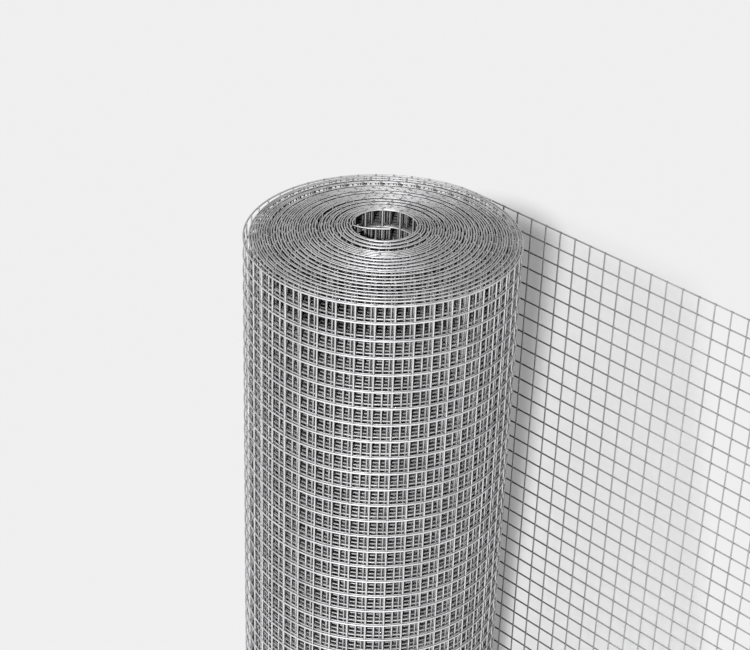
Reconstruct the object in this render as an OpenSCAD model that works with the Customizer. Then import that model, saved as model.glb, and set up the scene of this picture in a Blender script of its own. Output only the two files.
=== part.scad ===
// A roll of galvanised welded wire mesh that stands on end. Its outer turns
// have slid down a little past the inner ones, so that the roll stands on
// them, and its free end leads off straight from the outermost turn. The Z
// axis runs up the bore from its lower mouth, and the free end heads along +X.

/* [Mesh] */
// Distance from one wire to the next, centre to centre, both ways
mesh_pitch = 12.7; // [8:0.1:25]
// Thickness of the wire
wire_d = 1; // [0.7:0.05:1.5]
// Cells from one edge of the mesh to the other, up the standing roll
cells_high = 48; // [4:1:60]
// How far the cross wires reach past the centre of the edge wires
edge_stub = 1; // [0.8:0.1:4]
// How deep a weld sets a cross wire into a line wire
weld_set = 0.3; // [0.05:0.05:0.4]
// Flat sides that a wire of the free end is given
wire_sides = 6; // [6:2:12]

/* [Roll] */
// Radius of the bore
bore_r = 21; // [10:1:60]
// Turns in the roll
turns = 42; // [4:1:50]
// Slack between one turn and the next
turn_slack = 0; // [0:0.05:2]
// How much lower the outermost turn stands than the innermost one
outer_drop = 9; // [0:0.5:20]

/* [Free end] */
// Distance from where the mesh leaves the roll to the next cross wire
first_cross = 25.1; // [24:0.1:40]
// Cross wires in each stretch of the free end
stretch_wires = 7; // [3:1:8]
// Length of line wire past the last cross wire
cut_stub = 1; // [0.8:0.1:6]
// Clearance between the roll and the line wires that lead off it
seat_gap = 0.1; // [0:0.05:0.3]

/* [Hidden] */
round_fn = 120;

mesh_h = cells_high * mesh_pitch + 2 * edge_stub;
wire_r = wire_d / 2;
turn_w = 2 * wire_d - weld_set;
turn_pitch = turn_w + turn_slack;
groove_w = turn_pitch - wire_d;
outer_r = bore_r + turns * turn_pitch;
foot_z = -outer_drop;
edge_h = edge_stub + wire_r;

line_y = outer_r - wire_r;
cross_y = line_y - wire_d + weld_set;
cell_r = cross_y + wire_r;
lead_x = sqrt(pow(outer_r + seat_gap, 2) - pow(outer_r - wire_d, 2));
stretch_length = stretch_wires * mesh_pitch;

function turn_r(i) = bore_r + i * turn_pitch;
function turn_z(i) = -outer_drop * i / (turns - 1);
function row_z(row) = foot_z + edge_stub + row * mesh_pitch;
function seam_x(i) = first_cross + i * stretch_length - mesh_pitch / 2;

// One turn's section at an end of the roll: the groove inside it, if it has one,
// and then its edge wire, which stands proud of the groove's floor
function turn_edge(i, z, groove) = concat(
    i == 0 ? [[turn_r(0), z]] : [[turn_r(i), z - groove], [turn_r(i) + groove_w, z - groove],
                                 [turn_r(i) + groove_w, z]],
    [[turn_r(i + 1), z], if (i < turns - 1) [turn_r(i + 1), z + turn_z(1) - groove]]
);

// The outermost turn's section over one row of cells: it is set back to the cross
// wires, so that the line wires above and below it stand proud as rings
function cell_side(row) = let (top = row_z(row + 1) - wire_r, bottom = row_z(row) + wire_r)
    [[outer_r, top], [cell_r, top], [cell_r, bottom], [outer_r, bottom]];

// The rolled mesh as one turned solid with its bore, the turns on both ends and
// the outermost turn's line wires round its side
module mesh_roll() {
    upper = [for (i = [0 : turns - 1]) each turn_edge(i, turn_z(i) + mesh_h, edge_h)];
    side = [for (row = [cells_high - 1 : -1 : 0]) each cell_side(row)];
    lower = [for (i = [0 : turns - 1]) each turn_edge(i, turn_z(i), -edge_h)];
    color("darkgray") rotate_extrude($fn = round_fn)
        polygon(concat(upper, side, [for (i = [len(lower) - 1 : -1 : 0]) lower[i]]));
}

// A straight wire up the Z axis, with flats to front and back where it is welded
module wire(length) {
    rotate(90 - 180 / wire_sides)
        cylinder(h = length, r = wire_r / cos(180 / wire_sides), $fn = wire_sides);
}

// One stretch of the free end, from x_start to x_end: line wires on the outer
// side, and the stretch's own cross wires welded to their inner side
module stretch(i, x_start, x_end) {
    color("silver") {
        for (row = [0 : cells_high])
            translate([x_start, line_y, row_z(row)])
                rotate([0, 90, 0]) wire(x_end - x_start);
        for (column = [0 : stretch_wires - 1])
            translate([first_cross + i * stretch_length + column * mesh_pitch, cross_y, foot_z])
                wire(mesh_h);
    }
}

module free_end_near() {
    stretch(0, lead_x, seam_x(1));
}

module free_end_middle() {
    stretch(1, seam_x(1), seam_x(2));
}

module free_end_far() {
    stretch(2, seam_x(2), seam_x(3) - mesh_pitch / 2 + cut_stub);
}

mesh_roll();
free_end_near();
free_end_middle();
free_end_far();
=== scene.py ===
import math
import bpy
from mathutils import Matrix, Vector


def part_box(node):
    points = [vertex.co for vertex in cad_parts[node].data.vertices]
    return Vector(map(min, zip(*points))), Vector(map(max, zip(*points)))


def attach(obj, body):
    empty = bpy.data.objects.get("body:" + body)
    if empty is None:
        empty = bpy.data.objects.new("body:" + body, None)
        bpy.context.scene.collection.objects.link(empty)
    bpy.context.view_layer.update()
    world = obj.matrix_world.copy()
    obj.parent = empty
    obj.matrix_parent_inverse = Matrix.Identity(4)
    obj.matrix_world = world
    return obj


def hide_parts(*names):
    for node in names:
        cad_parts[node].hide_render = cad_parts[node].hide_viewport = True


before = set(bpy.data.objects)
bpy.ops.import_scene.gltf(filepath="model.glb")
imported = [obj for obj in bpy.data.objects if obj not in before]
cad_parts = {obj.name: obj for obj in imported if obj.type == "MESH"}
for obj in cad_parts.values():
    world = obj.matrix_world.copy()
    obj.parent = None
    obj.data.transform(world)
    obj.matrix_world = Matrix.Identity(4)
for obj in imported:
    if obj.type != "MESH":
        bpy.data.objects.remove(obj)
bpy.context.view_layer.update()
scene = bpy.context.scene
print("frame loaded")

# Sizes of the part, in metres
mesh = {
    "pitch": 0.0127,
    "wire": 0.001,
    "weldSet": 0.0003,
    "stub": 0.001,
    "height": 0.6116,
    # how far along X the free end's first cross wire stands
    "firstCross": 0.0251,
}
rollLow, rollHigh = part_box("mesh_roll")
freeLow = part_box("free_end_near")[0]
floorZ = rollLow.z
wireRadius = mesh["wire"] / 2


class Sock:
    # a node socket that maths can be written with
    def __init__(self, tree, socket):
        self.tree, self.socket = tree, socket

    def _maths(self, operation, *values):
        return self.tree.node("ShaderNodeMath", {"operation": operation}, values)

    def __add__(self, other):
        return self._maths("ADD", self, other)

    def __sub__(self, other):
        return self._maths("SUBTRACT", self, other)

    def __rsub__(self, other):
        return self._maths("SUBTRACT", other, self)

    def __mul__(self, other):
        return self._maths("MULTIPLY", self, other)

    __radd__, __rmul__ = __add__, __mul__


class Tree:
    def __init__(self, tree):
        self.tree = tree

    def node(self, kind, settings=None, values=(), out=0):
        made = self.tree.nodes.new(kind)
        for key, value in (settings or {}).items():
            if key == "stops":
                elements = made.color_ramp.elements
                while len(elements) < len(value):
                    elements.new(0.5)
                for element, (place, colour) in zip(elements, value):
                    element.position, element.color = place, (*colour, 1)
            else:
                setattr(made, key, value)
        pairs = values.items() if isinstance(values, dict) else enumerate(values)
        for key, value in pairs:
            if isinstance(value, Sock):
                self.tree.links.new(value.socket, made.inputs[key])
            else:
                made.inputs[key].default_value = value
        return Sock(self, made.outputs[out]) if len(made.outputs) else None


# The wound mesh, seen from above: it leaves the roll at 90 degrees and winds
# inwards anticlockwise. Each turn's radius is set at four places round it, the
# back, left, front and right as the camera sees them.
winding = {
    "turns": 41.4,
    "pitch": 0.001735,
    # the outermost line wire's middle, with room for the corners of the swept wires
    "line": rollHigh.y - 0.0006,
    "perTurn": 96,
    # from one cross wire to the next, which bending the mesh has drawn together a little
    "cell": 0.01261,
    # how far round its turn the first place, the back, is
    "backPlace": 0.122,
    # how much further out than an even spiral a turn lies at the four places
    "bulge": [0, 0.0006, 0.0011, 0.0022],
    # turns with a wider gap outside them, (turn, extra millimetres), at the same four places
    "wide": [[(0, 2.2), (1, 2.0), (5, 0.5), (10, 0.5), (29, 0.4)],
             [(1, 2.3), (2, 0.2), (12, 0.3), (14, 0.4), (16, 0.2), (20, 0.2), (26, 0.3), (27, 0.35),
              (28, 0.6), (30, 0.4), (33, 0.3), (38, 0.2), (40, 0.4)],
             [(2, 0.3), (6, 0.2), (10, 0.25), (12, 0.2), (18, 0.35), (35, 0.4)],
             [(4, 0.2), (6, 0.25), (14, 0.3), (16, 0.2), (20, 0.35), (23, 0.6), (24, 0.4), (25, 0.3),
              (30, 0.3), (33, 0.4), (37, 0.3)]],
    # turns that have sunk between their neighbours, (turn, millimetres), at the front and the back
    "sunkFront": [(1, 0.9), (3, 0.85), (5, 1.1), (7, 0.8), (9, 1.1), (11, 1.2), (13, 0.8), (15, 0.8),
                  (17, 1.3), (19, 0.8), (22, 0.7), (24, 0.8), (26, 0.7), (28, 0.8), (34, 1.2),
                  (36, 0.8), (38, 0.8), (40, 0.7)],
    "sunkBack": [(2, 0.5), (4, 1.6), (6, 0.8), (9, 1.6), (10, 1.3), (12, 1.0), (18, 1.0), (21, 1.0),
                 (28, 1.5), (31, 1.0), (34, 1.1)],
}
# how high a turn stands above the outermost one, against how far in it is
riseCurve = [(0.0, 0.0), (0.016, 0.0), (0.06, 0.0013), (0.14, 0.0017), (0.27, 0.0026), (0.45, 0.0042),
             (0.69, 0.0064), (0.82, 0.0072), (0.98, 0.009), (1.0, 0.009)]
# the inner end springs off the bore's wall and stands across it
innerEnd = [(-0.0031, -0.0126), (0.0024, -0.0072), (0.0079, -0.0013)]


def table(points, x):
    for (x0, y0), (x1, y1) in zip(points, points[1:]):
        if x <= x1:
            return y0 + (y1 - y0) * max(0, x - x0) / (x1 - x0)
    return points[-1][1]


def eased(part):
    return part * part * (3 - 2 * part)


def turnOffsets(wide):
    # how far each turn lies from an evenly wound one, with all turns' sum kept
    gaps = [0.0] * (math.ceil(winding["turns"]) + 1)
    for turn, extra in wide:
        gaps[turn] += extra / 1000
    mean = sum(gaps) / len(gaps)
    offsets = [0.0]
    for gap in gaps:
        offsets.append(offsets[-1] - (gap - mean))
    return offsets


offsets = [turnOffsets(wide) for wide in winding["wide"]]


def spiralRadius(s):
    quarter = (s - winding["backPlace"]) * 4
    low = math.floor(quarter)
    blend = eased(s / winding["backPlace"] if low < 0 else quarter - low)

    def offset(q):
        if q < 0:
            return 0.0
        place = q % 4
        return winding["bulge"][place] + offsets[place][q // 4 + 1]
    return winding["line"] - winding["pitch"] * s + offset(low) * (1 - blend) + offset(low + 1) * blend


def sunkAt(half):
    sunk = winding["sunkFront"] if half % 2 else winding["sunkBack"]
    return dict(sunk).get(half // 2, 0) / 1000


def spiralPoint(s):
    angle = math.radians(90) + 2 * math.pi * s
    radius = spiralRadius(s)
    half = (s - winding["backPlace"]) * 2
    low = math.floor(half)
    blend = eased(half - low)
    sunk = sunkAt(low) * (1 - blend) + sunkAt(low + 1) * blend
    rise = table(riseCurve, s / winding["turns"]) - sunk
    return Vector((radius * math.cos(angle), radius * math.sin(angle), max(rise, 0)))


# the whole path, from where the CAD's free end starts to the inner end in the bore
leadTurn, springTurn = -1.0, 41.8
woundTurns = [i / winding["perTurn"] for i in range(round(winding["turns"] * winding["perTurn"]) + 1)]
path = [Vector((freeLow.x, winding["line"], 0))] + [spiralPoint(turn) for turn in woundTurns]
path += [Vector((x, y, path[-1].z)) for x, y in innerEnd]
turnOfPoint = [leadTurn] + woundTurns + [springTurn] * len(innerEnd)
lengths = [0.0]
for a, b in zip(path, path[1:]):
    lengths.append(lengths[-1] + (b.xy - a.xy).length)


def along(distance):
    # point and level direction at a distance along the path
    low, high = 0, len(lengths) - 1
    while high - low > 1:
        middle = (low + high) // 2
        low, high = (middle, high) if lengths[middle] <= distance else (low, middle)
    part = (distance - lengths[low]) / (lengths[high] - lengths[low])
    point = path[low].lerp(path[high], part)
    ahead = (path[high] - path[low]).xy.normalized()
    return point, Vector((ahead.x, ahead.y, 0))


turnAtLength = list(zip(lengths, turnOfPoint))
# the winding's first cross wire stands one cell short of the free end's first one
firstCross = lengths[1] - (mesh["firstCross"] - mesh["pitch"])
print("path of", round(lengths[-1], 3), "m laid out")


# Geometry Nodes: one swept wire, repeated row by row up the roll
def groupTree(name, sockets):
    tree = bpy.data.node_groups.new(name, "GeometryNodeTree")
    for label, kind in sockets:
        tree.interface.new_socket(label, in_out="INPUT", socket_type=kind)
    tree.interface.new_socket("Geometry", in_out="OUTPUT", socket_type="NodeSocketGeometry")
    return Tree(tree)


def lineWireTree():
    t = groupTree("line_wires", [
        ("Geometry", "NodeSocketGeometry"), ("Wire Radius", "NodeSocketFloat"),
        ("Sides", "NodeSocketInt"), ("Segment", "NodeSocketFloat"), ("Rows", "NodeSocketInt"),
        ("Pitch", "NodeSocketFloat"), ("First Row", "NodeSocketFloat"),
        ("Material", "NodeSocketMaterial")])
    given = t.tree.nodes.new("NodeGroupInput")
    use = {s.name: Sock(t, s) for s in given.outputs if s.name}
    curve = t.node("GeometryNodeMeshToCurve", None, {"Mesh": use["Geometry"]})
    curve = t.node("GeometryNodeResampleCurve", {"mode": "LENGTH"},
                   {"Curve": curve, "Length": use["Segment"]})
    curve = t.node("GeometryNodeSetCurveNormal", {"mode": "Z_UP"}, {"Curve": curve})
    ring = t.node("GeometryNodeCurvePrimitiveCircle", None,
                  {"Resolution": use["Sides"], "Radius": use["Wire Radius"]})
    swept = t.node("GeometryNodeCurveToMesh", None,
                   {"Curve": curve, "Profile Curve": ring, "Fill Caps": True})
    swept = t.node("GeometryNodeSetShadeSmooth", None, {"Geometry": swept, "Shade Smooth": True})
    start = t.node("ShaderNodeCombineXYZ", None, {"Z": use["First Row"]})
    step = t.node("ShaderNodeCombineXYZ", None, {"Z": use["Pitch"]})
    rows = t.node("GeometryNodeMeshLine", None,
                  {"Count": use["Rows"], "Start Location": start, "Offset": step})
    placed = t.node("GeometryNodeInstanceOnPoints", None, {"Points": rows, "Instance": swept})
    solid = t.node("GeometryNodeRealizeInstances", None, {"Geometry": placed})
    solid = t.node("GeometryNodeSetMaterial", None, {"Geometry": solid, "Material": use["Material"]})
    t.node("NodeGroupOutput", None, {"Geometry": solid})
    return t.tree


# Geometry Nodes: a straight wire stood at each point
def crossWireTree():
    t = groupTree("cross_wires", [
        ("Geometry", "NodeSocketGeometry"), ("Wire Radius", "NodeSocketFloat"),
        ("Sides", "NodeSocketInt"), ("Length", "NodeSocketFloat"),
        ("Material", "NodeSocketMaterial")])
    given = t.tree.nodes.new("NodeGroupInput")
    use = {s.name: Sock(t, s) for s in given.outputs if s.name}
    top = t.node("ShaderNodeCombineXYZ", None, {"Z": use["Length"]})
    stem = t.node("GeometryNodeCurvePrimitiveLine", None, {"End": top})
    ring = t.node("GeometryNodeCurvePrimitiveCircle", None,
                  {"Resolution": use["Sides"], "Radius": use["Wire Radius"]})
    stem = t.node("GeometryNodeCurveToMesh", None,
                  {"Curve": stem, "Profile Curve": ring, "Fill Caps": True})
    turned = t.node("GeometryNodeInputNamedAttribute", {"data_type": "FLOAT_VECTOR"},
                    {"Name": "turned"})
    placed = t.node("GeometryNodeInstanceOnPoints", None,
                    {"Points": use["Geometry"], "Instance": stem, "Rotation": turned})
    solid = t.node("GeometryNodeRealizeInstances", None, {"Geometry": placed})
    solid = t.node("GeometryNodeSetMaterial", None, {"Geometry": solid, "Material": use["Material"]})
    t.node("NodeGroupOutput", None, {"Geometry": solid})
    return t.tree


def builtBy(tree, name, points, edges, inputs, turned=None):
    base = bpy.data.meshes.new(name + "_path")
    base.from_pydata([tuple(p) for p in points], edges, [])
    if turned:
        made = base.attributes.new("turned", "FLOAT_VECTOR", "POINT")
        made.data.foreach_set("vector", [angle for angles in turned for angle in angles])
    holder = bpy.data.objects.new(name, base)
    scene.collection.objects.link(holder)
    modifier = holder.modifiers.new("nodes", "NODES")
    modifier.node_group = tree
    for item in tree.interface.items_tree:
        if item.in_out == "INPUT" and item.name in inputs:
            modifier[item.identifier] = inputs[item.name]
    evaluated = holder.evaluated_get(bpy.context.evaluated_depsgraph_get())
    made = bpy.data.meshes.new_from_object(evaluated)
    holder.modifiers.remove(modifier)
    holder.data = made
    made.name = name
    print(name, sum(len(p.vertices) - 2 for p in made.polygons), "triangles")
    return holder


# Zinc: a dull grey coat with faint cloudy patches and fine grain, with painted shade: the colour falls
# towards a near-black shade colour in nooks and gaps, where ambient occlusion finds other wires close by
def zincMaterial(name, zinc):
    material = bpy.data.materials.new(name)
    material.use_nodes = True
    material.node_tree.nodes.clear()
    t = Tree(material.node_tree)
    place = t.node("ShaderNodeTexCoord", None, (), "Object")
    cloud = t.node("ShaderNodeTexNoise", None, {"Vector": place, "Scale": zinc["cloud"], "Detail": 3.0})
    grain = t.node("ShaderNodeTexNoise", None, {"Vector": place, "Scale": zinc["grain"], "Detail": 2.0})
    tone = t.node("ShaderNodeValToRGB", {"stops": [(0.3, zinc["dark"]), (0.7, zinc["light"])]},
                  {"Fac": 0.7 * cloud + 0.3 * grain})
    # painted shade: ambient occlusion within this distance darkens the base colour towards the shade
    # colour, the more the closer other surfaces lie
    paintedNookShade = t.node("ShaderNodeAmbientOcclusion", {"samples": 4}, {"Distance": zinc["paintedNookShade"]}, "AO")
    tone = t.node("ShaderNodeMix", {"data_type": "RGBA"}, {
        "Factor": zinc["open"] * paintedNookShade - zinc["close"], "A": (*zinc["shade"], 1), "B": tone}, "Result")
    bump = t.node("ShaderNodeBump", None, {"Strength": 0.25, "Distance": 0.0001, "Height": grain})
    shader = t.node("ShaderNodeBsdfPrincipled", None, {
        "Base Color": tone, "Metallic": zinc["metallic"],
        "Roughness": zinc["rough"] + 0.2 * grain, "Normal": bump})
    t.node("ShaderNodeOutputMaterial", None, {"Surface": shader})
    return material


# the zinc's own tones, and its painted shade in nooks: how far the occlusion reaches, and how steeply it
# darkens the colour towards the shade colour
zinc = {"cloud": 60.0, "grain": 900.0, "dark": (0.5, 0.5, 0.51), "light": (0.76, 0.76, 0.77),
        "metallic": 0.45, "rough": 0.4, "shade": (0.02, 0.02, 0.02),
        "paintedNookShade": 0.01, "open": 1.9, "close": 0.55}
wireZinc = zincMaterial("zinc_wire", zinc)
# the top and foot edges and the bore get the same zinc with deeper, wider-reaching painted shade, which
# darkens the gaps between turns and the bore
edgeZinc = zincMaterial("zinc_edge_and_bore_deeper_shade", dict(zinc, paintedNookShade=0.03, open=2.3, close=0.75))
# the free end's zinc is painted darker, and darker still near the roll through occlusion reaching 12 cm:
# painted shade standing in for the roll's shadow on the sheet
sheetZinc = zincMaterial("zinc_free_end_painted_shadow", dict(
    zinc, cloud=45.0, dark=(0.32, 0.32, 0.33), light=(0.48, 0.48, 0.49), paintedNookShade=0.12, open=3.4, close=2.0))
for node in ("free_end_near", "free_end_middle", "free_end_far"):
    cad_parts[node].data.materials.clear()
    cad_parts[node].data.materials.append(sheetZinc)
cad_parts["mesh_roll"].data.materials.clear()
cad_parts["mesh_roll"].data.materials.append(wireZinc)
print("materials made")

lineTree, crossTree = lineWireTree(), crossWireTree()
firstRow = floorZ + mesh["stub"]
fine, coarse = mesh["pitch"] / 2, mesh["pitch"]
lineGroups = {
    "outer_turns": {"from": -1, "to": 4, "first": 0, "rows": 49, "segment": fine, "sides": 5},
    "top_edge_turns": {"from": 4, "to": 42, "first": 46, "rows": 3, "segment": fine, "sides": 5},
    "foot_edge_turns": {"from": 4, "to": 42, "first": 0, "rows": 2, "segment": fine, "sides": 4},
    "inner_wires_lower": {"from": 4, "to": 38, "first": 2, "rows": 22, "segment": coarse, "sides": 3},
    "inner_wires_upper": {"from": 4, "to": 38, "first": 24, "rows": 22, "segment": coarse, "sides": 3},
    "bore_turns": {"from": 38, "to": 42, "first": 2, "rows": 44, "segment": fine, "sides": 5},
}
# wires of few sides are made a little stouter, so that they look as thick as round ones
stoutness = 0.6
made = []
for name, group in lineGroups.items():
    chosen = [p for p, turn in zip(path, turnOfPoint) if group["from"] <= turn <= group["to"]]
    edges = [(i, i + 1) for i in range(len(chosen) - 1)]
    made.append(builtBy(lineTree, name, chosen, edges, {
        "Wire Radius": wireRadius / math.cos(math.pi / group["sides"]) ** stoutness,
        "Sides": group["sides"], "Segment": group["segment"], "Rows": group["rows"],
        "Pitch": mesh["pitch"], "First Row": firstRow + group["first"] * mesh["pitch"],
        "Material": edgeZinc if "edge" in name or "bore" in name else wireZinc}))

# the cross wires sit inside the line wires, welded a little way into them
crossGroups = {
    "cross_wires": {"from": -1, "to": 36, "sides": 6, "zinc": wireZinc},
    "bore_cross_wires": {"from": 36, "to": 43, "sides": 6, "zinc": edgeZinc},
}
stands = []
distance = firstCross
while distance < lengths[-1] - mesh["stub"]:
    point, ahead = along(distance)
    inward = Vector((-ahead.y, ahead.x, 0))
    stand = point + inward * (mesh["wire"] - mesh["weldSet"]) + Vector((0, 0, floorZ))
    stands.append((table(turnAtLength, distance), stand, (0, 0, math.atan2(ahead.y, ahead.x))))
    distance += mesh["pitch"] if distance < lengths[1] else winding["cell"]
for name, group in crossGroups.items():
    chosen = [stand for stand in stands if group["from"] < stand[0] <= group["to"]]
    made.append(builtBy(crossTree, name, [place for _, place, _ in chosen], [], {
        "Wire Radius": wireRadius / math.cos(math.pi / group["sides"]), "Sides": group["sides"],
        "Length": mesh["height"], "Material": group["zinc"]}, [turned for _, _, turned in chosen]))
for piece in made:
    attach(piece, "root")
    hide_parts("mesh_roll")
print("wound mesh made,", len(stands), "cross wires")

# The floor, the camera and the light
floorMesh = bpy.data.meshes.new("floor")
floorMesh.from_pydata([(-9, -9, floorZ), (9, -9, floorZ), (9, 9, floorZ), (-9, 9, floorZ)], [],
                      [(0, 1, 2, 3)])
floor = bpy.data.objects.new("floor", floorMesh)
scene.collection.objects.link(floor)
floorMaterial = bpy.data.materials.new("pale_floor")
floorMaterial.use_nodes = True
floorMaterial.node_tree.nodes.clear()
t = Tree(floorMaterial.node_tree)
t.node("ShaderNodeOutputMaterial", None, {"Surface": t.node(
    "ShaderNodeBsdfDiffuse", None, {"Color": (0.84, 0.84, 0.84, 1)})})
floorMesh.materials.append(floorMaterial)

# fitted to the photo: sizes and places in its pixels, angles in degrees, distance in metres
shot = {"wide": 750, "high": 650, "focal": 1950, "down": 30.97, "roll": 1.89, "distance": 1.2842,
        "centre": (382.9, 236.2), "facing": 45.81}
pitchDown, leaning = math.radians(shot["down"]), math.radians(shot["roll"])
facing = math.radians(shot["facing"])
levelRight = Vector((math.sin(facing), math.cos(facing), 0))
levelAhead = Vector((-math.cos(facing), math.sin(facing), 0))
ahead = levelAhead * math.cos(pitchDown) - Vector((0, 0, math.sin(pitchDown)))
upright = levelRight.cross(ahead)
right = levelRight * math.cos(leaning) + upright * math.sin(leaning)
up = upright * math.cos(leaning) - levelRight * math.sin(leaning)
target = Vector((0, 0, floorZ + mesh["height"] - mesh["stub"]))
offset = (ahead + right * ((shot["centre"][0] - shot["wide"] / 2) / shot["focal"])
          - up * ((shot["centre"][1] - shot["high"] / 2) / shot["focal"])) * shot["distance"]
cameraData = bpy.data.cameras.new("camera")
cameraData.sensor_width = 36
cameraData.lens = shot["focal"] / shot["wide"] * cameraData.sensor_width
cameraData.clip_start = 0.01
camera = bpy.data.objects.new("camera", cameraData)
scene.collection.objects.link(camera)
turn = Matrix((right, up, -ahead)).transposed()
camera.matrix_world = Matrix.Translation(target - offset) @ turn.to_4x4()
scene.camera = camera


def sunLight(name, azimuth, elevation, strength, spread):
    # azimuth in degrees to the right of the camera's side of the roll, as seen from the camera
    data = bpy.data.lights.new(name, "SUN")
    data.energy, data.angle = strength, math.radians(spread)
    lamp = bpy.data.objects.new(name, data)
    scene.collection.objects.link(lamp)
    level = levelRight * math.sin(math.radians(azimuth)) - levelAhead * math.cos(math.radians(azimuth))
    towards = level * math.cos(math.radians(elevation)) + Vector((0, 0, math.sin(math.radians(elevation))))
    lamp.rotation_euler = towards.to_track_quat("Z", "Y").to_euler()


sunLight("key_light", -6.9, 28, 4.5, 2)
sunLight("top_light", -50, 74, 0.95, 20)
world = bpy.data.worlds.new("studio")
scene.world = world
world.use_nodes = True
world.node_tree.nodes["Background"].inputs["Color"].default_value = (1, 1, 1, 1)
world.node_tree.nodes["Background"].inputs["Strength"].default_value = 0.07
scene.view_settings.view_transform = "Standard"
print("floor, camera and lights placed")
